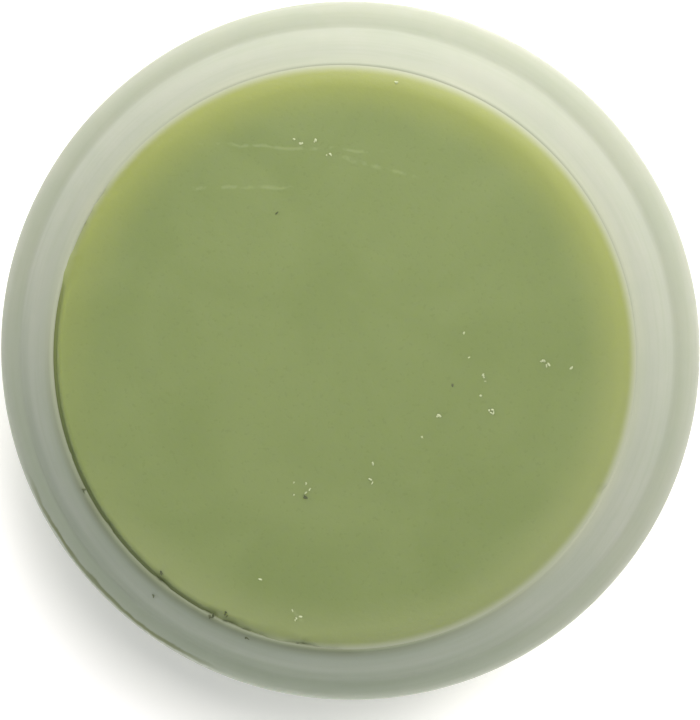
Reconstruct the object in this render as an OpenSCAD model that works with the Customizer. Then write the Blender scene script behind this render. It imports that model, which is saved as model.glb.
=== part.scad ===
/* [Tub] */
// Outer diameter of the tub at its widest, the belly under the shoulder
tub_d = 80; // [79.4:0.1:84]
// Height of the belly above the table
belly_z = 18; // [16:0.5:18.5]
// Diameter of the foot that the tub stands on, over its rounded edge
foot_d = 69.6; // [68:0.2:71]
// Radius that rounds the foot's outer edge
foot_r = 1.2; // [0.8:0.1:1.5]
// Thickness of the tub's floor above the recess in its underside
floor_t = 1.6; // [1.2:0.1:2]
// Depth of the shallow recess in the underside
recess_h = 0.8; // [0.5:0.1:1]
// Diameter of the recess, which is the inner edge of the foot ring
recess_d = 60; // [54:1:62]

/* [Shoulder and lip] */
// Radius of the round shoulder above the belly
shoulder_r = 4.4; // [4:0.1:4.6]
// How far round the shoulder turns before the snap groove, in degrees
shoulder_turn = 60; // [57:1:62]
// Radius of the shallow hollow of the snap groove
groove_r = 1.8; // [1.4:0.1:2.2]
// Steepness of the groove's upper side, in degrees above level
groove_slope = 62; // [58:1:64]
// Length of the groove's straight side
groove_side = 0.5; // [0.2:0.1:0.8]
// Steepness of the lip at its inner edge, in degrees above level
lip_slope = 33; // [28:1:36]
// Radius that breaks the lip's inner edge
lip_edge_r = 0.45; // [0.3:0.05:0.5]

/* [Soap] */
// Diameter of the soap at its face
soap_d = 65.4; // [64:0.2:66.4]
// Height of the soap's face above the table
soap_face_z = 27.2; // [26.8:0.1:27.8]
// Radius that rounds the edge of the face
soap_edge_r = 0.8; // [0.5:0.1:1.2]
// Radius at the foot of the soap
soap_foot_r = 2.2; // [1.5:0.1:3]
// Draft of the soap's side and of the tub's well, in degrees
draft = 2.4; // [1:0.1:3]
// Gap all round between the soap and the well
fit_gap = 0.15; // [0.1:0.01:0.2]

/* [Hidden] */
// Facets round a turned piece, and steps along a rounded corner
turn_fn = 180;
arc_steps = 10;

// Points along an arc about centre c; first = 1 leaves out the point it starts from
function arc(c, r, a0, a1, first = 0) =
    [for (i = [first:arc_steps]) let (a = a0 + (a1 - a0) * i / arc_steps) c + r * [cos(a), sin(a)]];

// Radius of the soap's drafted side at height z, and of the well around it
function soap_side(z) = soap_d / 2 - (soap_face_z - z) * tan(draft);
function well_side(z) = soap_side(z) + fit_gap;

// The soap stands on the well's floor with the same gap as at its side
well_floor_z = recess_h + floor_t;
soap_foot_z = well_floor_z + fit_gap;

// The outside wall is one arc, upright at the belly, that runs into the foot's round edge
belly_radius = tub_d / 2;
foot_centre = [foot_d / 2 - foot_r, foot_r];
wall_inset = belly_radius - foot_centre[0];
wall_rise = belly_z - foot_centre[1];
wall_r = (wall_inset ^ 2 + wall_rise ^ 2 - foot_r ^ 2) / (2 * (wall_inset - foot_r));
wall_turn = asin(wall_rise / (wall_r - foot_r));
wall_centre = [belly_radius - wall_r, belly_z];

// Shoulder and groove follow each other, tangent to tangent
shoulder_centre = [belly_radius - shoulder_r, belly_z];
groove_centre = shoulder_centre + (shoulder_r + groove_r) * [cos(shoulder_turn), sin(shoulder_turn)];
groove_turn = 90 - groove_slope;
groove_foot = groove_centre - groove_r * [cos(groove_turn), sin(groove_turn)];
groove_top = groove_foot + groove_side * [-cos(groove_slope), sin(groove_slope)];

// The lip is one wide arc from the groove in to its broken edge, just outside the well's mouth
lip_turn = 90 - lip_slope;
lip_inner = well_side(soap_face_z) + lip_edge_r * (1 / cos(draft) + cos(lip_turn));
lip_r = (groove_top[0] - lip_inner) / (cos(groove_turn) - cos(lip_turn));
lip_centre = groove_top - lip_r * [cos(groove_turn), sin(groove_turn)];
lip_edge_centre = lip_centre + (lip_r - lip_edge_r) * [cos(lip_turn), sin(lip_turn)];

// Centres of the rounded corners between a level line and the drafted sides
well_foot_z = well_floor_z + soap_foot_r;
well_foot_centre = [well_side(well_foot_z) - soap_foot_r / cos(draft), well_foot_z];
soap_corner_z = soap_foot_z + soap_foot_r;
soap_foot_centre = [soap_side(soap_corner_z) - soap_foot_r / cos(draft), soap_corner_z];
soap_edge_z = soap_face_z - soap_edge_r;
soap_edge_centre = [soap_side(soap_edge_z) - soap_edge_r / cos(draft), soap_edge_z];

// Frosted thick-walled tub: foot ring, round belly, snap groove, lip and drafted well
module tub() {
    color([0.80, 0.83, 0.74])
    rotate_extrude($fn = turn_fn)
    polygon(concat(
        [[0, recess_h], [recess_d / 2 - recess_h, recess_h], [recess_d / 2, 0]],
        arc(foot_centre, foot_r, -90, -wall_turn),
        arc(wall_centre, wall_r, -wall_turn, 0, first = 1),
        arc(shoulder_centre, shoulder_r, 0, shoulder_turn, first = 1),
        arc(groove_centre, -groove_r, shoulder_turn, groove_turn, first = 1),
        arc(lip_centre, lip_r, groove_turn, lip_turn),
        arc(lip_edge_centre, lip_edge_r, lip_turn, 180 - draft, first = 1),
        arc(well_foot_centre, soap_foot_r, -draft, -90),
        [[0, well_floor_z]]
    ));
}

// Olive shaving soap, cast with drafted sides so that it lifts out
module soap_puck() {
    color([0.56, 0.61, 0.40])
    rotate_extrude($fn = turn_fn)
    polygon(concat(
        [[0, soap_foot_z]],
        arc(soap_foot_centre, soap_foot_r, -90, -draft),
        arc(soap_edge_centre, soap_edge_r, -draft, 90),
        [[0, soap_face_z]]
    ));
}

tub();
soap_puck();
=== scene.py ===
# %% [markdown]
# # A shaving soap puck in its frosted tub
#
# The object is two pieces: a low, thick-walled tub of frosted plastic, and a cake of olive green
# shaving soap that was cast in it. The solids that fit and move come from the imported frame. This
# lesson gives them their looks: smooth turned surfaces, the small accidents of cast soap, and
# plastic and soap that let light in.

import math

import bmesh
import bpy
from mathutils import Matrix, Vector, noise


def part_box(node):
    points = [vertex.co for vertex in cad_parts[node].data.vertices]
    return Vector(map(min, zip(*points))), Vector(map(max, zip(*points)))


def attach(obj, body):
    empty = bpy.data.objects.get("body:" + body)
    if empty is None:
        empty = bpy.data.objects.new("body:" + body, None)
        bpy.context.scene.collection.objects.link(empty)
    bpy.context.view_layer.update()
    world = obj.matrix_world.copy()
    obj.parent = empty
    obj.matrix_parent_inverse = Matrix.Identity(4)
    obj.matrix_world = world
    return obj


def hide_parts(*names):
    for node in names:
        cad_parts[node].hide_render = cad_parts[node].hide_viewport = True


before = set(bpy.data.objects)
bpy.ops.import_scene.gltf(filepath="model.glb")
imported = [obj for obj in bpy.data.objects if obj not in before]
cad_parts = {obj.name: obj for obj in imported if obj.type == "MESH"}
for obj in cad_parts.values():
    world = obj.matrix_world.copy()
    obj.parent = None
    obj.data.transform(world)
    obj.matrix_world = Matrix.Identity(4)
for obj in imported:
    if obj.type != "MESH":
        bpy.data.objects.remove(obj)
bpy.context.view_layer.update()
MM = 0.001

# %% [markdown]
# ## The sizes both pieces share
#
# The frame gives the outer sizes: how wide and how tall each solid is. The radii of the corners
# are design values, so they are named here, and every other point follows from the two. All the
# values are in metres, because that is the frame's unit.

# %% Read the outer sizes and name the corner radii
tub_low, tub_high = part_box("tub")
soap_low, soap_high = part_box("soap_puck")

belly_radius = tub_high.x
lip_top = tub_high.z
face_height = soap_high.z
soap_foot = soap_low.z

belly_height = 18 * MM
foot_radius = 34.8 * MM
foot_edge = 1.2 * MM
recess_radius = 30 * MM
recess_depth = 0.8 * MM
floor_height = 2.4 * MM
shoulder_round = 4.4 * MM
shoulder_turn = 60
groove_round = 1.8 * MM
groove_slope = 62
groove_side = 0.5 * MM
lip_slope = 33
lip_edge = 0.45 * MM
soap_radius = 32.7 * MM
soap_edge = 0.8 * MM
foot_corner = 2.2 * MM
draft = 2.4
fit_gap = 0.15 * MM

print("belly", round(belly_radius / MM, 2), "mm, lip top", round(lip_top / MM, 2), "mm")

# %% [markdown]
# ## Arcs that make an outline
#
# A turned piece is known by its outline: the line that a knife would follow from the middle of
# its underside round to the middle of its top. A few arcs that meet tangent to tangent give the
# smooth change of slope that a moulding has. An arc here is a centre, a radius and two angles.
# A negative radius bends the other way, which is how the hollow of the groove is drawn.

# %% Helpers for outlines
def arc(centre, radius, start, end, steps=12):
    """Points along an arc in the outline's plane, where x is the radius and y the height."""
    angles = [math.radians(start + (end - start) * i / steps) for i in range(steps + 1)]
    return [(centre[0] + radius * math.cos(a), centre[1] + radius * math.sin(a)) for a in angles]


def polar(centre, radius, angle):
    """The point at this distance and angle from a centre."""
    return arc(centre, radius, angle, angle, 1)[0]


def level(height, start, end, steps):
    """Evenly spaced points on a level stretch of the outline."""
    return [(start + (end - start) * i / steps, height) for i in range(steps + 1)]


def soap_side(height):
    """Radius of the soap's drafted side at a height."""
    return soap_radius - (face_height - height) * math.tan(math.radians(draft))


def well_side(height):
    """Radius of the tub's well at a height."""
    return soap_side(height) + fit_gap


# %% [markdown]
# ## The tub's outline
#
# The tub stands on a ring, swells in one long arc to its belly, turns over a round shoulder, dips
# into the groove where a lid snaps on, and ends in a rounded lip. Inside is a plain drafted well.
# The wall's radius is found from two facts: it is upright at the belly, and it runs into the
# round edge of the foot without a corner.

# %% Work out the tub's outline
foot_centre = (foot_radius - foot_edge, foot_edge)
wall_inset = belly_radius - foot_centre[0]
wall_rise = belly_height - foot_centre[1]
wall_round = (wall_inset**2 + wall_rise**2 - foot_edge**2) / (2 * (wall_inset - foot_edge))
wall_turn = math.degrees(math.asin(wall_rise / (wall_round - foot_edge)))
wall_centre = (belly_radius - wall_round, belly_height)

shoulder_centre = (belly_radius - shoulder_round, belly_height)
groove_centre = polar(shoulder_centre, shoulder_round + groove_round, shoulder_turn)
groove_turn = 90 - groove_slope
groove_foot = polar(groove_centre, -groove_round, groove_turn)
groove_top = polar(groove_foot, groove_side, 180 - groove_slope)

lip_turn = 90 - lip_slope
groove_reach = math.cos(math.radians(groove_turn))
lip_reach = math.cos(math.radians(lip_turn))
lip_inner = well_side(face_height) + lip_edge * (1 + lip_reach)
lip_round = (groove_top[0] - lip_inner) / (groove_reach - lip_reach)
lip_centre = polar(groove_top, -lip_round, groove_turn)
lip_edge_centre = polar(lip_centre, lip_round - lip_edge, lip_turn)

well_foot = floor_height + foot_corner
well_foot_centre = (well_side(well_foot) - foot_corner, well_foot)

tub_outline = (
    level(recess_depth, 0, recess_radius - recess_depth, 12)
    + [(recess_radius, 0)]
    + arc(foot_centre, foot_edge, -90, -wall_turn, 8)
    + arc(wall_centre, wall_round, -wall_turn, 0, 24)[1:]
    + arc(shoulder_centre, shoulder_round, 0, shoulder_turn)[1:]
    + arc(groove_centre, -groove_round, shoulder_turn, groove_turn)[1:]
    + arc(lip_centre, lip_round, groove_turn, lip_turn)
    + arc(lip_edge_centre, lip_edge, lip_turn, 180 - draft, 8)[1:]
    + [(well_side(h * MM), h * MM) for h in (22, 20, 18, 16, 14, 12, 10, 8, 6)]
    + arc(well_foot_centre, foot_corner, -draft, -90)
    + level(floor_height, 28 * MM, 0, 12)
)
print("tub outline:", len(tub_outline), "points, lip radius", round(lip_round / MM, 1), "mm")


def lip_height(radius):
    """Height of the tub's lip at a radius: its broken inner edge, then its wide arc."""
    centre, bend = (lip_edge_centre, lip_edge) if radius < lip_inner else (lip_centre, lip_round)
    return centre[1] + math.sqrt(max(bend**2 - (radius - centre[0]) ** 2, 0))


# %% [markdown]
# ## The soap's outline
#
# Cast soap has a flat face, a rounded edge and a side with a little draft, so that it slides out.
# This cake was poured a touch too full, and on most sides it ran over the gap and slopes down to
# end in the lip. So its outline isn't the same all round: the clean round edge on one side turns
# slowly into that slope, and the outline is a function of the angle. Both edges have as many
# points as each other, so that one can be mixed into the other.

# %% Work out the soap's outline at an angle
run_direction = math.radians(25)
rim_low = face_height - 2.2 * MM
rim_inner = soap_radius - 2 * MM
corner_height = soap_foot + foot_corner
corner_centre = (soap_side(corner_height) - foot_corner, corner_height)
edge_height = face_height - soap_edge
edge_centre = (soap_side(edge_height) - soap_edge, edge_height)

soap_underside = level(soap_foot, 0, corner_centre[0], 10) + arc(
    corner_centre, foot_corner, -90, -draft, 8
)[1:]
side_heights = [corner_height + (rim_low - corner_height) * i / 22 for i in range(1, 22)]
soap_wall = [(soap_side(h), h) for h in side_heights]

film = 0.03 * MM
mouth = well_side(lip_edge_centre[1]) - film
mouth_height = lip_edge_centre[1]
filled_gap = [
    (soap_side(rim_low), rim_low),
    (mouth, mouth_height - 0.6 * MM),
    (mouth, mouth_height - 0.1 * MM),
    polar(lip_edge_centre, lip_edge + film, 160),
    polar(lip_edge_centre, lip_edge + film, 135),
]


def round_edge():
    """The soap's edge where it stands clear of the lip, above a gap that is full of soap."""
    return filled_gap + arc(edge_centre, soap_edge, 8, 90, 12) + [(rim_inner, face_height)]


def run_over_edge():
    """The soap's edge where it slopes down and ends in the lip's surface."""
    low = (lip_edge_centre[0] + 0.25 * MM, lip_top - 0.17 * MM)
    slope = []
    for i in range(14):
        share = i / 13
        rise = math.sin(share * math.pi / 2) ** 0.9
        radius = low[0] + (rim_inner - low[0]) * share
        slope.append((radius, low[1] + (face_height - low[1]) * rise))
    return filled_gap + slope


round_points = round_edge()
run_over_points = run_over_edge()


def ease(value, start, end):
    """0 at start, 1 at end, and smooth between them."""
    share = min(max((value - start) / (end - start), 0), 1)
    return share * share * (3 - 2 * share)


def soap_rim(angle):
    """The soap's edge at an angle round the axis: round, run over the lip, or between the two."""
    around = Vector((math.cos(angle), math.sin(angle), 0))
    wander = noise.fractal(around * 5, 0.6, 2.0, 4) * 0.12
    filled = ease(0.5 + 0.5 * math.cos(angle - run_direction) + wander, 0.08, 0.32)
    return [
        (c[0] + (r[0] - c[0]) * filled, c[1] + (r[1] - c[1]) * filled)
        for c, r in zip(round_points, run_over_points)
    ]


# %% [markdown]
# ## The soap's face
#
# A cast face is never quite flat. It shrinks as it sets, which leaves low swells a few
# hundredths of a millimetre deep, and its edge gets small chips where a thumb or a knife has
# caught it. The swells are smooth noise, and each chip is a place, a width and a depth.

# %% Describe the swells and the chips
swell_size = 11 * MM
swell_depth = 0.06 * MM
edge_chips = [
    (200, 0.9, 0.10),
    (216, 1.5, 0.14),
    (231, 2.2, 0.30),
    (243, 2.4, 0.32),
    (247, 3.0, 0.24),
    (262, 0.9, 0.12),
    (333, 1.6, 0.16),
]


def swell(x, y):
    """How far the face has sunk at a place, never above its true height."""
    cloud = noise.noise(Vector((x, y, 0.37 * swell_size)) / swell_size)
    return -swell_depth * (0.5 + 0.5 * cloud)


def chip(angle, radius):
    """How far the chips lower the face at a place near the edge."""
    lowered = 0
    for degrees, width, depth in edge_chips:
        turn = (angle - math.radians(degrees) + math.pi) % math.tau - math.pi
        along = turn * soap_radius / (width * MM / 2)
        inwards = (soap_radius - radius) / (0.75 * MM)
        rough = 1 + 0.5 * noise.noise(Vector((along * 2, inwards * 3, degrees)))
        lowered += depth * MM * max(0, 1 - along**2) * max(0, 1 - inwards) * rough
    return -lowered


def soap_outline(angle):
    """The whole outline at an angle, from the middle of the underside to the middle of the face."""
    face = level(face_height, rim_inner, 0, 54)[1:-1]
    top = []
    for radius, height in soap_rim(angle) + face:
        x, y = radius * math.cos(angle), radius * math.sin(angle)
        top_share = ease(height, rim_low, face_height)
        top.append((radius, height + (swell(x, y) + chip(angle, radius)) * top_share))
    return soap_underside + soap_wall + top


print("soap outline:", len(soap_outline(0)), "points, of which", len(round_points), "at its edge")

# %% [markdown]
# ## Turning an outline with Geometry Nodes
#
# Blender can spin an edge in Edit Mode, or with the Screw modifier. A Geometry Nodes tree does
# the same job and keeps its sizes as named inputs: it makes a grid with one row of points for
# each step round the axis, looks up the outline point that belongs to each grid point, and turns
# it about Z by its row's angle. Merging the doubles closes the seam and the two poles.

# %% Helpers for node trees
def add_node(tree, kind, settings=None, **inputs):
    """Adds a node, sets its options and unlinked inputs, and links the sockets it is given."""
    node = tree.nodes.new(kind)
    for name, value in (settings or {}).items():
        setattr(node, name, value)
    for name, value in inputs.items():
        key = int(name[1:]) if name[1:].isdigit() else name.replace("_", " ")
        if isinstance(value, bpy.types.NodeSocket):
            tree.links.new(value, node.inputs[key])
        else:
            node.inputs[key].default_value = value
    return node


def maths(tree, operation, a, b=0.0):
    """A Math node's result."""
    node = add_node(tree, "ShaderNodeMath", {"operation": operation}, i0=a, i1=b)
    return node.outputs[0]


def make_sockets(tree, inputs, outputs):
    """Gives a tree its named inputs and outputs, each a name, a kind and a default value."""
    for name, kind, value in inputs:
        socket = tree.interface.new_socket(name, in_out="INPUT", socket_type=kind)
        if value is not None:
            socket.default_value = value
    for name, kind in outputs:
        tree.interface.new_socket(name, in_out="OUTPUT", socket_type=kind)


# %% Build the turning tree
def make_turning_tree():
    """A tree that turns its object's outline about Z."""
    tree = bpy.data.node_groups.new("turn_outline", "GeometryNodeTree")
    make_sockets(
        tree,
        [
            ("Outline", "NodeSocketGeometry", None),
            ("Steps round", "NodeSocketInt", 256),
            ("Material", "NodeSocketMaterial", None),
        ],
        [("Geometry", "NodeSocketGeometry")],
    )
    given = tree.nodes.new("NodeGroupInput")
    outline = given.outputs["Outline"]
    steps = given.outputs["Steps round"]
    size = add_node(tree, "GeometryNodeAttributeDomainSize", Geometry=outline)
    points = size.outputs["Point Count"]
    rows = maths(tree, "ADD", steps, 1.0)
    grid = add_node(tree, "GeometryNodeMeshGrid", Vertices_X=rows, Vertices_Y=points)
    index = tree.nodes.new("GeometryNodeInputIndex").outputs[0]
    row = maths(tree, "FLOOR", maths(tree, "DIVIDE", maths(tree, "ADD", index, 0.5), points))
    place = maths(tree, "SUBTRACT", index, maths(tree, "MULTIPLY", row, points))
    angle = maths(tree, "DIVIDE", maths(tree, "MULTIPLY", row, math.tau), steps)
    position = tree.nodes.new("GeometryNodeInputPosition").outputs[0]
    lookup = add_node(
        tree,
        "GeometryNodeSampleIndex",
        {"data_type": "FLOAT_VECTOR", "domain": "POINT"},
        Geometry=outline,
        Value=position,
        Index=place,
    )
    turned = add_node(
        tree,
        "ShaderNodeVectorRotate",
        {"rotation_type": "Z_AXIS"},
        Vector=lookup.outputs[0],
        Angle=angle,
    )
    placed = add_node(
        tree, "GeometryNodeSetPosition", Geometry=grid.outputs["Mesh"], Position=turned.outputs[0]
    )
    merged = add_node(
        tree, "GeometryNodeMergeByDistance", Geometry=placed.outputs[0], Distance=0.002 * MM
    )
    smooth = add_node(tree, "GeometryNodeSetShadeSmooth", Geometry=merged.outputs[0])
    real = add_node(tree, "GeometryNodeRealizeInstances", Geometry=smooth.outputs[0])
    painted = add_node(
        tree,
        "GeometryNodeSetMaterial",
        Geometry=real.outputs[0],
        Material=given.outputs["Material"],
    )
    result = tree.nodes.new("NodeGroupOutput")
    tree.links.new(painted.outputs[0], result.inputs[0])
    return tree


# %% Run a tree and keep its result as a plain mesh
def bake_tree(name, source_mesh, tree, values):
    """Runs a Geometry Nodes tree on a mesh, and returns its result as a new object."""
    carrier = bpy.data.objects.new(name + "_source", source_mesh)
    bpy.context.scene.collection.objects.link(carrier)
    modifier = carrier.modifiers.new("tree", "NODES")
    modifier.node_group = tree
    sockets = {s.name: s.identifier for s in tree.interface.items_tree if s.in_out == "INPUT"}
    for socket_name, value in values.items():
        modifier[sockets[socket_name]] = value
    depsgraph = bpy.context.evaluated_depsgraph_get()
    mesh = bpy.data.meshes.new_from_object(carrier.evaluated_get(depsgraph))
    mesh.name = name
    bpy.data.objects.remove(carrier)
    piece = bpy.data.objects.new(name, mesh)
    bpy.context.scene.collection.objects.link(piece)
    return piece


def outline_mesh(name, outline):
    """The outline as a mesh of points and edges in the XZ plane."""
    mesh = bpy.data.meshes.new(name)
    edges = [(i, i + 1) for i in range(len(outline) - 1)]
    mesh.from_pydata([(x, 0, z) for x, z in outline], edges, [])
    return mesh


def face_outwards(mesh):
    """Recalculates the normals of a closed mesh so that they point out."""
    edit = bmesh.new()
    edit.from_mesh(mesh)
    bmesh.ops.recalc_face_normals(edit, faces=edit.faces)
    edit.to_mesh(mesh)
    edit.free()


# %% [markdown]
# ## Grain, streaks and strokes
#
# Moulded plastic and cast soap are both cloudy at the scale of millimetres and grainy at the
# scale of tenths of a millimetre. One node group gives both: a soft cloud for colour, and a fine
# grain for height. A second group draws streaks that run round the axis: its noise is looked up
# by direction, which changes slowly along a circle, and by radius and height, which change fast
# across it. A third masks one faint dragged stroke, which is broken up by noise.

# %% Build the grain group
def make_grain_group():
    """Cloud and grain from Object coordinates, in metres."""
    tree = bpy.data.node_groups.new("cloud_and_grain", "ShaderNodeTree")
    make_sockets(
        tree,
        [
            ("Cloud size", "NodeSocketFloat", 0.01),
            ("Grain size", "NodeSocketFloat", 0.0004),
        ],
        [("Cloud", "NodeSocketFloat"), ("Grain", "NodeSocketFloat")],
    )
    given = tree.nodes.new("NodeGroupInput")
    place = tree.nodes.new("ShaderNodeTexCoord").outputs["Object"]
    cloud = add_node(
        tree,
        "ShaderNodeTexNoise",
        Vector=place,
        Scale=maths(tree, "DIVIDE", 1.0, given.outputs["Cloud size"]),
        Detail=3.0,
        Roughness=0.55,
        Distortion=0.6,
    )
    grain = add_node(
        tree,
        "ShaderNodeTexNoise",
        Vector=place,
        Scale=maths(tree, "DIVIDE", 1.0, given.outputs["Grain size"]),
        Detail=2.0,
        Roughness=0.6,
    )
    result = tree.nodes.new("NodeGroupOutput")
    tree.links.new(cloud.outputs["Fac"], result.inputs["Cloud"])
    tree.links.new(grain.outputs["Fac"], result.inputs["Grain"])
    return tree


# %% Build the streak group
def make_streak_group():
    """Soft streaks that run round the axis, as a turned or moulded ring has."""
    tree = bpy.data.node_groups.new("streaks_round_the_axis", "ShaderNodeTree")
    make_sockets(
        tree,
        [
            ("Streak length", "NodeSocketFloat", 0.012),
            ("Streak width", "NodeSocketFloat", 0.0008),
        ],
        [("Streaks", "NodeSocketFloat")],
    )
    given = tree.nodes.new("NodeGroupInput")
    length = given.outputs["Streak length"]
    width = given.outputs["Streak width"]
    place = tree.nodes.new("ShaderNodeTexCoord").outputs["Object"]
    flat = add_node(
        tree, "ShaderNodeVectorMath", {"operation": "MULTIPLY"}, i0=place, i1=(1.0, 1.0, 0.0)
    )
    radius = add_node(tree, "ShaderNodeVectorMath", {"operation": "LENGTH"}, i0=flat.outputs[0])
    unit = add_node(tree, "ShaderNodeVectorMath", {"operation": "NORMALIZE"}, i0=flat.outputs[0])
    around = add_node(
        tree,
        "ShaderNodeVectorMath",
        {"operation": "SCALE"},
        i0=unit.outputs[0],
        Scale=maths(tree, "DIVIDE", belly_radius, length),
    )
    height = add_node(tree, "ShaderNodeSeparateXYZ", Vector=place).outputs["Z"]
    down_the_wall = maths(tree, "SUBTRACT", radius.outputs["Value"], height)
    across = add_node(
        tree, "ShaderNodeCombineXYZ", Z=maths(tree, "DIVIDE", down_the_wall, width)
    )
    lines_at = add_node(
        tree,
        "ShaderNodeVectorMath",
        {"operation": "ADD"},
        i0=around.outputs[0],
        i1=across.outputs[0],
    )
    lines = add_node(
        tree, "ShaderNodeTexNoise", Vector=lines_at.outputs[0], Scale=1.0, Detail=3.0
    )
    result = tree.nodes.new("NodeGroupOutput")
    tree.links.new(lines.outputs["Fac"], result.inputs["Streaks"])
    return tree


# %% Build the stroke group
def make_stroke_group():
    """A mask of one faint dragged mark, straight but broken, at a chosen place."""
    tree = bpy.data.node_groups.new("dragged_stroke", "ShaderNodeTree")
    make_sockets(
        tree,
        [
            ("Middle", "NodeSocketVector", (0.0, 0.0, 0.0)),
            ("Turn", "NodeSocketFloat", 0.0),
            ("Length", "NodeSocketFloat", 0.01),
            ("Width", "NodeSocketFloat", 0.0003),
        ],
        [("Mask", "NodeSocketFloat")],
    )
    given = tree.nodes.new("NodeGroupInput")
    place = tree.nodes.new("ShaderNodeTexCoord").outputs["Object"]
    moved = add_node(
        tree,
        "ShaderNodeVectorMath",
        {"operation": "SUBTRACT"},
        i0=place,
        i1=given.outputs["Middle"],
    )
    turned = add_node(
        tree,
        "ShaderNodeVectorRotate",
        {"rotation_type": "Z_AXIS", "invert": True},
        Vector=moved.outputs[0],
        Angle=given.outputs["Turn"],
    )
    parts = add_node(tree, "ShaderNodeSeparateXYZ", Vector=turned.outputs[0])
    wander = add_node(tree, "ShaderNodeTexNoise", Vector=place, Scale=250.0, Detail=2.0)
    offset = maths(tree, "SUBTRACT", wander.outputs["Fac"], 0.5)
    offset = maths(tree, "MULTIPLY", offset, 1.2 * MM)
    across = maths(tree, "ABSOLUTE", maths(tree, "ADD", parts.outputs["Y"], offset))
    along = maths(tree, "ABSOLUTE", parts.outputs["X"])
    thin = fade(tree, maths(tree, "DIVIDE", across, given.outputs["Width"]), 1.0, 0.0)
    short = fade(tree, maths(tree, "DIVIDE", along, given.outputs["Length"]), 0.5, 0.3)
    breaks = add_node(tree, "ShaderNodeTexNoise", Vector=place, Scale=700.0, Detail=2.0)
    kept = fade(tree, breaks.outputs["Fac"], 0.42, 0.6)
    mask = maths(tree, "MULTIPLY", maths(tree, "MULTIPLY", thin, short), kept)
    result = tree.nodes.new("NodeGroupOutput")
    tree.links.new(mask, result.inputs["Mask"])
    return tree


grain_group = make_grain_group()
streak_group = make_streak_group()


# %% Helpers for materials
def new_material(name):
    """An empty material, with its tree, its Principled BSDF and its output."""
    material = bpy.data.materials.new(name)
    material.use_nodes = True
    tree = material.node_tree
    return material, tree, tree.nodes["Principled BSDF"], tree.nodes["Material Output"]


def use_group(tree, group, **inputs):
    """Places a shared group in a material."""
    node = tree.nodes.new("ShaderNodeGroup")
    node.node_tree = group
    for name, value in inputs.items():
        node.inputs[name.replace("_", " ")].default_value = value
    return node


def fade(tree, value, start, end):
    """0 at start, 1 at end, and smooth between them."""
    node = add_node(
        tree,
        "ShaderNodeMapRange",
        {"interpolation_type": "SMOOTHSTEP"},
        Value=value,
        From_Min=start,
        From_Max=end,
    )
    return node.outputs[0]


def blend_colours(tree, factor, first, second):
    """A Mix node between two colours."""
    node = tree.nodes.new("ShaderNodeMix")
    node.data_type = "RGBA"
    for index, value in ((0, factor), (6, first), (7, second)):
        socket = node.inputs[index]
        if isinstance(value, bpy.types.NodeSocket):
            tree.links.new(value, socket)
        else:
            socket.default_value = value if isinstance(value, float) else (*value, 1.0)
    return node.outputs[2]


def facing(tree, azimuth, wide, narrow):
    """1 within narrow degrees of a direction round the axis, 0 beyond wide, smooth between."""
    place = tree.nodes.new("ShaderNodeTexCoord").outputs["Object"]
    flat = add_node(
        tree, "ShaderNodeVectorMath", {"operation": "MULTIPLY"}, i0=place, i1=(1.0, 1.0, 0.0)
    )
    unit = add_node(tree, "ShaderNodeVectorMath", {"operation": "NORMALIZE"}, i0=flat.outputs[0])
    turn = math.radians(azimuth)
    towards = (math.cos(turn), math.sin(turn), 0.0)
    along = add_node(
        tree, "ShaderNodeVectorMath", {"operation": "DOT_PRODUCT"}, i0=unit.outputs[0], i1=towards
    )
    start, end = math.cos(math.radians(wide)), math.cos(math.radians(narrow))
    return fade(tree, along.outputs["Value"], start, end)


def radius_and_height(tree):
    """Distance from the axis and height above the table, in metres."""
    place = tree.nodes.new("ShaderNodeTexCoord").outputs["Object"]
    parts = add_node(tree, "ShaderNodeSeparateXYZ", Vector=place)
    flat = add_node(tree, "ShaderNodeCombineXYZ", X=parts.outputs["X"], Y=parts.outputs["Y"])
    length = add_node(
        tree, "ShaderNodeVectorMath", {"operation": "LENGTH"}, i0=flat.outputs[0]
    )
    return length.outputs["Value"], parts.outputs["Z"]
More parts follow.
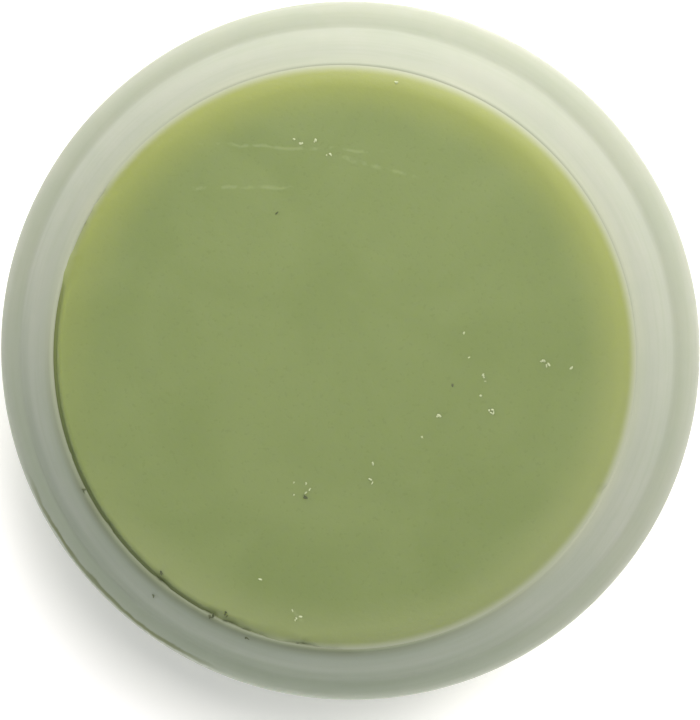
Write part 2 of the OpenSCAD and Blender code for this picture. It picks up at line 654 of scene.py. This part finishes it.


# %% [markdown]
# ## Frosted plastic
#
# The plastic is milky: light enters it, scatters and leaves a few millimetres away, so it has
# Subsurface. Its colour is not even. The lip is solid plastic and looks whitest, while lower down
# the green soap shows through the wall, more so where the wall is thin. That is painted by height
# and radius. Light and shade are painted into the colour too: the lip, the groove and the shoulder
# each have a lit tone on the lamp's side and a dim, painted-shade tone on the far side, blended by
# direction round the axis. Next to the soap the lip is hazy, and on the dim side that band is
# painted dark, as painted shade from the soap. A dark olive line low on the dim side of the
# shoulder is painted shade as well. For shadow rays only, the plastic is nearly clear, which is
# how the side of the soap gets light and how the shadow on the table stays soft and pale.

# %% Make the frosted plastic
def make_frosted_plastic():
    material, tree, surface, output = new_material("frosted_plastic")
    radius, height = radius_and_height(tree)
    # Painted light and shade: each band has a lit tone on the lamp's side and a darker, shaded tone
    # on the far side.
    light_side = facing(tree, 65, 170, 95)
    lit_lip = (0.450, 0.465, 0.375)
    dim_lip = (0.428, 0.462, 0.374)
    lit_groove = (0.435, 0.455, 0.360)
    dim_groove = (0.288, 0.328, 0.238)
    lit_shoulder = (0.428, 0.448, 0.346)
    dim_shoulder = (0.408, 0.446, 0.346)
    soap_behind = (0.30, 0.335, 0.185)
    soap_haze_lit_side = (0.45, 0.465, 0.34)
    soap_haze_in_painted_shade = (0.18, 0.20, 0.115)
    painted_shade_line = (0.125, 0.155, 0.022)
    above_groove = fade(tree, height, 23.4 * MM, 24.8 * MM)
    below_groove = fade(tree, height, 22.7 * MM, 22.0 * MM)
    groove_tone = blend_colours(tree, light_side, dim_groove, lit_groove)
    lip_tone = blend_colours(tree, light_side, dim_lip, lit_lip)
    shoulder_tone = blend_colours(tree, light_side, dim_shoulder, lit_shoulder)
    tone = blend_colours(tree, above_groove, groove_tone, lip_tone)
    tone = blend_colours(tree, below_groove, tone, shoulder_tone)
    thin_wall = fade(tree, height, 19.5 * MM, 4 * MM)
    tone = blend_colours(tree, maths(tree, "MULTIPLY", thin_wall, 0.8), tone, soap_behind)
    foot_ring = maths(
        tree, "MULTIPLY", fade(tree, height, 3 * MM, 1 * MM), fade(tree, radius, 29 * MM, 31 * MM)
    )
    tone = blend_colours(tree, foot_ring, tone, lit_lip)

    # Painted shade: next to the soap the lip is painted dark on the side away from the lamp, where
    # the soap's shade falls; on the lamp's side the band is a pale soap haze.
    haze_and_shade_band = fade(tree, radius, 34.8 * MM, 33.1 * MM)
    haze_and_painted_shade_tone = blend_colours(tree, light_side, soap_haze_in_painted_shade, soap_haze_lit_side)
    tone = blend_colours(tree, maths(tree, "MULTIPLY", haze_and_shade_band, above_groove), tone, haze_and_painted_shade_tone)

    away_from_soap = fade(tree, radius, 33.5 * MM, 34.9 * MM)
    # Painted shade: a dark olive line low on the shoulder, only on the side away from the lamp.
    ragged = use_group(tree, grain_group, Cloud_size=3 * MM, Grain_size=0.4 * MM)
    wobble = maths(tree, "MULTIPLY", ragged.outputs["Cloud"], 1.0 * MM)
    line_height = maths(tree, "SUBTRACT", height, wobble)
    line = maths(
        tree,
        "MULTIPLY",
        fade(tree, line_height, 19.4 * MM, 19.7 * MM),
        fade(tree, line_height, 20.5 * MM, 20.1 * MM),
    )
    line = maths(tree, "MULTIPLY", line, facing(tree, 224, 27, 8))
    tone = blend_colours(tree, line, tone, painted_shade_line)

    grain = use_group(tree, grain_group, Cloud_size=7 * MM, Grain_size=0.35 * MM)
    cloud = fade(tree, grain.outputs["Cloud"], 0.3, 0.7)
    tone = blend_colours(tree, maths(tree, "MULTIPLY", cloud, 0.22), tone, (0.36, 0.41, 0.31))
    streaks = use_group(tree, streak_group, Streak_length=14 * MM, Streak_width=0.7 * MM)
    streak = fade(tree, streaks.outputs["Streaks"], 0.45, 0.65)
    tone = blend_colours(tree, maths(tree, "MULTIPLY", streak, 0.14), tone, (0.36, 0.40, 0.27))
    tree.links.new(tone, surface.inputs["Base Color"])

    rough = maths(tree, "MULTIPLY_ADD", grain.outputs["Cloud"], 0.12)
    rough.node.inputs[2].default_value = 0.44
    rough = maths(tree, "ADD", rough, maths(tree, "MULTIPLY", streak, 0.08))
    tree.links.new(rough, surface.inputs["Roughness"])
    bump = add_node(
        tree, "ShaderNodeBump", Strength=0.25, Distance=0.03 * MM, Height=grain.outputs["Grain"]
    )
    tree.links.new(bump.outputs[0], surface.inputs["Normal"])
    milky = maths(tree, "MULTIPLY", maths(tree, "SUBTRACT", 0.8, line), away_from_soap)
    tree.links.new(milky, surface.inputs["Subsurface Weight"])
    surface.inputs["Subsurface Radius"].default_value = (1.0, 1.0, 0.8)
    surface.inputs["Subsurface Scale"].default_value = 1.6 * MM
    surface.inputs["Specular IOR Level"].default_value = 0.35

    path = tree.nodes.new("ShaderNodeLightPath")
    through = add_node(tree, "ShaderNodeBsdfTransparent", Color=(0.95, 0.96, 0.93, 1.0))
    mix = add_node(tree, "ShaderNodeMixShader", i0=path.outputs["Is Shadow Ray"])
    tree.links.new(surface.outputs[0], mix.inputs[1])
    tree.links.new(through.outputs[0], mix.inputs[2])
    tree.links.new(mix.outputs[0], output.inputs["Surface"])
    return material


# %% [markdown]
# ## Olive soap
#
# Hard soap is waxy: smooth but not shiny, slightly translucent, and never one even colour. Its
# face is a cloudy olive green with fine pores. Near the edge, light from the side is painted into
# its colour: a painted yellow glow towards the main lamp, and paler painted light on the opposite
# side, towards the fill lamp. Where it thins out over the lip it takes on the lip's colour.
# Subsurface fades out there, because a thin rim that scatters light would turn dark. Faint
# strokes run across the face where a cloth or a thumb has dragged over it.

# %% Make the olive soap
# Each stroke is the place of its middle, its turn in degrees, its length and its width
strokes = [
    ((-11.4 * MM, 19.3 * MM, 0), 1, 15 * MM, 0.35 * MM),
    ((-6.0 * MM, 23.9 * MM, 0), -2, 24 * MM, 0.3 * MM),
    ((3.3 * MM, 21.9 * MM, 0), -15, 12 * MM, 0.4 * MM),
    ((-5.2 * MM, -29.3 * MM, 0), -50, 2.4 * MM, 0.35 * MM),
]


def all_strokes(tree):
    """One mask for every stroke."""
    total = 0.0
    for middle, turn, length, width in strokes:
        stroke = use_group(
            tree,
            stroke_group,
            Middle=middle,
            Turn=math.radians(turn),
            Length=length,
            Width=width,
        )
        total = maths(tree, "MAXIMUM", stroke.outputs["Mask"], total)
    return total


def make_olive_soap():
    material, tree, surface, _ = new_material("olive_soap")
    radius, height = radius_and_height(tree)
    olive = (0.272, 0.328, 0.128)
    deep_olive = (0.252, 0.309, 0.116)
    painted_lamp_glow = (0.370, 0.402, 0.124)
    painted_fill_glow = (0.340, 0.380, 0.174)
    thin_edge = (0.46, 0.475, 0.37)
    wisp_pale = (0.38, 0.43, 0.22)

    grain = use_group(tree, grain_group, Cloud_size=14 * MM, Grain_size=0.5 * MM)
    cloud = fade(tree, grain.outputs["Cloud"], 0.32, 0.68)
    tone = blend_colours(tree, cloud, deep_olive, olive)
    pores = fade(tree, grain.outputs["Grain"], 0.40, 0.30)
    tone = blend_colours(tree, maths(tree, "MULTIPLY", pores, 0.25), tone, (0.20, 0.25, 0.09))
    # Painted light: near the rim the soap is painted yellower towards the main lamp and paler
    # towards the fill lamp, where side light would reach it.
    near_face = fade(tree, height, 17 * MM, 25.5 * MM)
    rim = maths(tree, "MULTIPLY", fade(tree, radius, 26.5 * MM, 33 * MM), near_face)
    fill_glow_side = maths(tree, "MULTIPLY", facing(tree, 295, 110, 50), 0.85)
    tone = blend_colours(tree, maths(tree, "MULTIPLY", rim, fill_glow_side), tone, painted_fill_glow)
    lamp_glow_side = facing(tree, 80, 150, 12)
    tone = blend_colours(tree, maths(tree, "MULTIPLY", rim, lamp_glow_side), tone, painted_lamp_glow)
    run_over = facing(tree, 25, 150, 112)
    thin = maths(tree, "MULTIPLY", fade(tree, radius, 32.2 * MM, 33.5 * MM), run_over)
    tone = blend_colours(tree, thin, tone, thin_edge)
    wisps = all_strokes(tree)
    tone = blend_colours(tree, maths(tree, "MULTIPLY", wisps, 0.45), tone, wisp_pale)
    tree.links.new(tone, surface.inputs["Base Color"])

    rough = maths(tree, "ADD", 0.42, maths(tree, "MULTIPLY", grain.outputs["Cloud"], 0.15))
    tree.links.new(rough, surface.inputs["Roughness"])
    heights = maths(tree, "SUBTRACT", grain.outputs["Grain"], maths(tree, "MULTIPLY", wisps, 0.6))
    bump = add_node(tree, "ShaderNodeBump", Strength=0.3, Distance=0.05 * MM, Height=heights)
    tree.links.new(bump.outputs[0], surface.inputs["Normal"])
    thick = fade(tree, radius, 33.0 * MM, 32.2 * MM)
    tree.links.new(thick, surface.inputs["Subsurface Weight"])
    surface.inputs["Subsurface Radius"].default_value = (1.0, 1.0, 0.45)
    surface.inputs["Subsurface Scale"].default_value = 3 * MM
    surface.inputs["Specular IOR Level"].default_value = 0.35
    return material


def make_crumb(name, colour):
    """A plain dull material for dry crumbs of soap."""
    material, _, surface, _ = new_material(name)
    surface.inputs["Base Color"].default_value = (*colour, 1.0)
    surface.inputs["Roughness"].default_value = 0.45
    return material


stroke_group = make_stroke_group()
frosted_plastic = make_frosted_plastic()
olive_soap = make_olive_soap()
pale_crumb = make_crumb("pale_crumb", (0.56, 0.60, 0.36))
dark_crumb = make_crumb("dark_crumb", (0.10, 0.115, 0.05))
print("shared groups:", grain_group.name, streak_group.name, stroke_group.name)

# %% [markdown]
# ## The two pieces
#
# The tub is the same all round, so its outline goes through the turning tree.

# %% Turn the tub
turning_tree = make_turning_tree()
tub = bake_tree(
    "frosted_tub",
    outline_mesh("tub_outline", tub_outline),
    turning_tree,
    {"Steps round": 288, "Material": frosted_plastic},
)
face_outwards(tub.data)
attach(tub, "tub")
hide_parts("tub")
print("tub:", len(tub.data.polygons), "faces")

# %% [markdown]
# The soap can't be turned from one outline, because its edge changes round the axis. Its mesh is
# built row by row instead: one outline for each angle, joined to the next by faces, with a single
# point at each pole. There are many rows, because its chips are less than a millimetre long.

# %% Build the soap row by row
def loft_round(name, outline_at, steps):
    """A closed mesh from an outline that is a function of the angle, with a point at each pole."""
    rows = [outline_at(math.tau * i / steps) for i in range(steps)]
    count = len(rows[0]) - 1
    points = [(0, 0, rows[0][0][1])]
    for i, row in enumerate(rows):
        angle = math.tau * i / steps
        points += [(r * math.cos(angle), r * math.sin(angle), z) for r, z in row[1:]]
    points.append((0, 0, rows[0][-1][1]))
    last = len(points) - 1
    faces = []
    for i in range(steps):
        here, there = 1 + i * count, 1 + (i + 1) % steps * count
        faces.append((0, there, here))
        faces += [(here + k, there + k, there + k + 1, here + k + 1) for k in range(count - 1)]
        faces.append((here + count - 1, there + count - 1, last))
    mesh = bpy.data.meshes.new(name)
    mesh.from_pydata(points, [], faces)
    mesh.shade_smooth()
    piece = bpy.data.objects.new(name, mesh)
    bpy.context.scene.collection.objects.link(piece)
    return piece


soap = loft_round("cast_soap", soap_outline, 576)
soap.data.materials.append(olive_soap)
face_outwards(soap.data)
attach(soap, "soap")
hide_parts("soap_puck")
print("soap:", len(soap.data.polygons), "faces")

# %% [markdown]
# ## Crumbs
#
# Dry crumbs of soap lie on the face in small groups. A Geometry Nodes tree scatters them: it
# copies each patch's point as often as the patch has crumbs, moves the copies apart, puts a small
# lump at each, and roughens the lumps. The places, the sizes and the seed are inputs, so the same
# tree makes the pale crumbs, the dark specks and the bits on the lip.

# %% Build the crumb tree
def make_crumb_tree():
    """A tree that scatters small rough lumps round its object's points."""
    tree = bpy.data.node_groups.new("scatter_crumbs", "GeometryNodeTree")
    make_sockets(
        tree,
        [
            ("Patches", "NodeSocketGeometry", None),
            ("Crumb size", "NodeSocketFloat", 0.1 * MM),
            ("Longest stretch", "NodeSocketFloat", 2.0),
            ("Seed", "NodeSocketInt", 0),
            ("Material", "NodeSocketMaterial", None),
        ],
        [("Geometry", "NodeSocketGeometry")],
    )
    given = tree.nodes.new("NodeGroupInput")
    seed = given.outputs["Seed"]
    number = add_node(tree, "GeometryNodeInputNamedAttribute", {"data_type": "INT"}, Name="crumbs")
    reach = add_node(tree, "GeometryNodeInputNamedAttribute", {"data_type": "FLOAT"}, Name="reach")
    copies = add_node(
        tree,
        "GeometryNodeDuplicateElements",
        {"domain": "POINT"},
        Geometry=given.outputs["Patches"],
        Amount=number.outputs[0],
    )
    away = add_node(
        tree,
        "FunctionNodeRandomValue",
        {"data_type": "FLOAT_VECTOR"},
        i0=(-1.0, -1.0, 0.0),
        i1=(1.0, 1.0, 0.0),
        Seed=seed,
    )
    moved = add_node(
        tree,
        "ShaderNodeVectorMath",
        {"operation": "SCALE"},
        i0=away.outputs[0],
        Scale=reach.outputs[0],
    )
    apart = add_node(
        tree, "GeometryNodeSetPosition", Geometry=copies.outputs[0], Offset=moved.outputs[0]
    )
    lump = add_node(tree, "GeometryNodeMeshIcoSphere", Radius=1.0, Subdivisions=2)
    turn = add_node(
        tree,
        "FunctionNodeRandomValue",
        {"data_type": "FLOAT_VECTOR"},
        i0=(0.0, 0.0, 0.0),
        i1=(0.6, 0.6, math.tau),
        Seed=seed,
    )
    longest = given.outputs["Longest stretch"]
    stretch = add_node(tree, "ShaderNodeCombineXYZ", X=longest, Y=1.1, Z=0.8)
    scale = add_node(
        tree,
        "FunctionNodeRandomValue",
        {"data_type": "FLOAT_VECTOR"},
        i0=(0.5, 0.4, 0.3),
        i1=stretch.outputs[0],
        Seed=seed,
    )
    sized = add_node(
        tree,
        "ShaderNodeVectorMath",
        {"operation": "SCALE"},
        i0=scale.outputs[0],
        Scale=given.outputs["Crumb size"],
    )
    placed = add_node(
        tree,
        "GeometryNodeInstanceOnPoints",
        Points=apart.outputs[0],
        Instance=lump.outputs["Mesh"],
        Rotation=turn.outputs[0],
        Scale=sized.outputs[0],
    )
    real = add_node(tree, "GeometryNodeRealizeInstances", Geometry=placed.outputs[0])
    lumpy = add_node(tree, "ShaderNodeTexNoise", Scale=9000.0, Detail=1.0)
    centred = add_node(
        tree,
        "ShaderNodeVectorMath",
        {"operation": "SUBTRACT"},
        i0=lumpy.outputs["Color"],
        i1=(0.5, 0.5, 0.5),
    )
    roughly = add_node(
        tree,
        "ShaderNodeVectorMath",
        {"operation": "SCALE"},
        i0=centred.outputs[0],
        Scale=maths(tree, "MULTIPLY", given.outputs["Crumb size"], 1.2),
    )
    rough = add_node(
        tree, "GeometryNodeSetPosition", Geometry=real.outputs[0], Offset=roughly.outputs[0]
    )
    painted = add_node(
        tree,
        "GeometryNodeSetMaterial",
        Geometry=rough.outputs[0],
        Material=given.outputs["Material"],
    )
    result = tree.nodes.new("NodeGroupOutput")
    tree.links.new(painted.outputs[0], result.inputs[0])
    return tree


def scatter(name, patches, body, values):
    """Scatters crumbs over patches, each a place in metres, a reach and a number of crumbs."""
    mesh = bpy.data.meshes.new(name + "_patches")
    mesh.from_pydata([place for place, _, _ in patches], [], [])
    reach = mesh.attributes.new("reach", "FLOAT", "POINT")
    reach.data.foreach_set("value", [r * MM for _, r, _ in patches])
    number = mesh.attributes.new("crumbs", "INT", "POINT")
    number.data.foreach_set("value", [n for _, _, n in patches])
    piece = bake_tree(name, mesh, crumb_tree, values)
    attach(piece, body)


def on_face(x, y):
    """A place on the soap's face, from millimetres."""
    return (x * MM, y * MM, face_height + swell(x * MM, y * MM))


def on_lip(degrees, radius):
    """A place on the lip, from an angle and millimetres from the axis."""
    turn = math.radians(degrees)
    return (radius * MM * math.cos(turn), radius * MM * math.sin(turn), lip_height(radius * MM))


# %% Scatter the crumbs
crumb_tree = make_crumb_tree()
pale_patches = [
    (on_face(-3.1, 24.6), 0.12, 3),
    (on_face(-5.0, 24.3), 0.60, 3),
    (on_face(-1.6, 23.1), 0.25, 2),
    (on_face(6.1, 31.2), 0.15, 2),
    (on_face(9.0, -8.8), 0.08, 2),
    (on_face(10.8, -6.6), 0.35, 3),
    (on_face(15.7, -4.1), 0.12, 2),
    (on_face(16.3, -2.1), 0.40, 4),
    (on_face(16.7, -5.8), 0.45, 4),
    (on_face(22.8, -0.4), 0.55, 5),
    (on_face(25.8, -0.9), 0.15, 2),
    (on_face(14.8, 1.7), 1.60, 2),
    (on_face(-4.5, -14.6), 1.30, 5),
    (on_face(1.5, -12.0), 2.20, 3),
    (on_face(-9.4, -25.2), 0.05, 1),
    (on_face(-5.2, -29.3), 0.60, 4),
]
dark_patches = [
    (on_face(12.5, -3.0), 0.12, 2),
    (on_face(-7.5, 16.4), 0.10, 1),
    (on_face(-4.4, -15.9), 0.25, 2),
    (on_face(-20.7, -24.6), 0.15, 3),
    (on_face(-13.2, -29.2), 0.45, 4),
]
lip_patches = [
    (on_lip(231.5, 34.9), 0.10, 2),
    (on_lip(243, 33.3), 0.35, 4),
    (on_lip(251, 33.9), 0.15, 3),
    (on_lip(207, 33.3), 0.30, 2),
]
scatter(
    "pale_crumbs",
    pale_patches,
    "soap",
    {"Crumb size": 0.16 * MM, "Longest stretch": 1.6, "Seed": 4, "Material": pale_crumb},
)
scatter(
    "dark_specks",
    dark_patches,
    "soap",
    {"Crumb size": 0.14 * MM, "Longest stretch": 2.4, "Seed": 7, "Material": dark_crumb},
)
scatter(
    "lip_specks",
    lip_patches,
    "tub",
    {"Crumb size": 0.14 * MM, "Longest stretch": 2.6, "Seed": 2, "Material": dark_crumb},
)

# %% [markdown]
# ## Table, light and camera
#
# The table is plain white and the light is soft: a main lamp high on one side, a weak fill lamp
# low on another, and a pale sky that is brighter towards the horizon. The main lamp's side of the
# round shoulder is bright and the far side is dark, which is what shows that the tub is round.
# Light linking keeps the main lamp off the table, so that the table throws little light back up,
# and gives the table a lamp of its own, which draws the shadow.

# %% Make the table
bpy.ops.mesh.primitive_plane_add(size=6)
table = bpy.context.object
table.name = "table"
table_white, _, table_surface, _ = new_material("table_white")
table_surface.inputs["Base Color"].default_value = (0.95, 0.92, 0.925, 1)
table_surface.inputs["Roughness"].default_value = 0.9
table_surface.inputs["Emission Color"].default_value = (1, 1, 1, 1)
table_surface.inputs["Emission Strength"].default_value = 0.18
table.data.materials.append(table_white)

# %% Light it
def add_lamp(name, azimuth, elevation, distance, size, power):
    """A square lamp that faces the object from a direction given in degrees."""
    data = bpy.data.lights.new(name, "AREA")
    data.color = (1.0, 0.97, 0.97)
    data.energy = power
    data.size = size
    lamp = bpy.data.objects.new(name, data)
    bpy.context.scene.collection.objects.link(lamp)
    around, above = math.radians(azimuth), math.radians(elevation)
    flat = Vector((math.cos(around), math.sin(around), 0)) * math.cos(above)
    towards = flat + Vector((0, 0, math.sin(above)))
    lamp.location = towards * distance
    lamp.rotation_mode = "QUATERNION"
    lamp.rotation_quaternion = towards.to_track_quat("Z", "Y")
    return lamp


def link_to_table(lamp, state):
    """Makes a lamp light only the table, or everything except the table."""
    receivers = bpy.data.collections.new(lamp.name + "_lights")
    receivers.objects.link(table)
    receivers.collection_objects[0].light_linking.link_state = state
    lamp.light_linking.receiver_collection = receivers


main_lamp = add_lamp("main_lamp", 76, 50, distance=0.42, size=0.15, power=1.65)
fill_lamp = add_lamp("fill_lamp", 305, 28, distance=0.4, size=0.2, power=0.24)
table_lamp = add_lamp("table_lamp", 60, 58, distance=0.5, size=0.22, power=3.9)
link_to_table(main_lamp, "EXCLUDE")
link_to_table(table_lamp, "INCLUDE")

sky_overhead = 0.33
sky_at_horizon = 0.75
sky = bpy.data.worlds.new("white_sky")
sky.use_nodes = True
sky_tree = sky.node_tree
direction = sky_tree.nodes.new("ShaderNodeTexCoord").outputs["Generated"]
rise = add_node(sky_tree, "ShaderNodeSeparateXYZ", Vector=direction).outputs["Z"]
near_horizon = fade(sky_tree, rise, 0.5, 0.1)
strength = maths(sky_tree, "MULTIPLY_ADD", near_horizon, sky_at_horizon - sky_overhead)
strength.node.inputs[2].default_value = sky_overhead
background = sky_tree.nodes["Background"]
background.inputs["Color"].default_value = (0.93, 1.0, 0.98, 1)
sky_tree.links.new(strength, background.inputs["Strength"])
bpy.context.scene.world = sky
bpy.context.scene.view_settings.view_transform = "Standard"

# %% [markdown]
# The camera looks almost straight down, a few degrees from the lamp's side, so the near side of
# the shoulder shows a little wider than the far side. The tub fills the picture's width.

# %% Place the camera
camera_tilt = math.radians(6.7)
camera_azimuth = math.radians(46)
camera_distance = 0.9
tub_share_of_width = 1.001
aim_below_centre = 0.94 * MM
aim_right_of_centre = 0.09 * MM
picture_width, picture_height = 700, 720

camera_data = bpy.data.cameras.new("camera")
camera = bpy.data.objects.new("camera", camera_data)
bpy.context.scene.collection.objects.link(camera)
bpy.context.scene.camera = camera
sideways = Vector((math.cos(camera_azimuth), math.sin(camera_azimuth), 0))
back = Vector((0, 0, math.cos(camera_tilt))) + sideways * math.sin(camera_tilt)
right = Vector((0, 1, 0)).cross(back).normalized()
up = back.cross(right)
target = Vector((0, 0, belly_height)) - up * aim_below_centre + right * aim_right_of_centre
camera.location = target + back * camera_distance
camera.rotation_mode = "QUATERNION"
camera.rotation_quaternion = Matrix((right, up, back)).transposed().to_quaternion()
view_width = 2 * belly_radius / tub_share_of_width
view_long_side = view_width * picture_height / picture_width
camera_data.lens = camera_data.sensor_width * camera_distance / view_long_side
print("lens", round(camera_data.lens, 1), "mm")
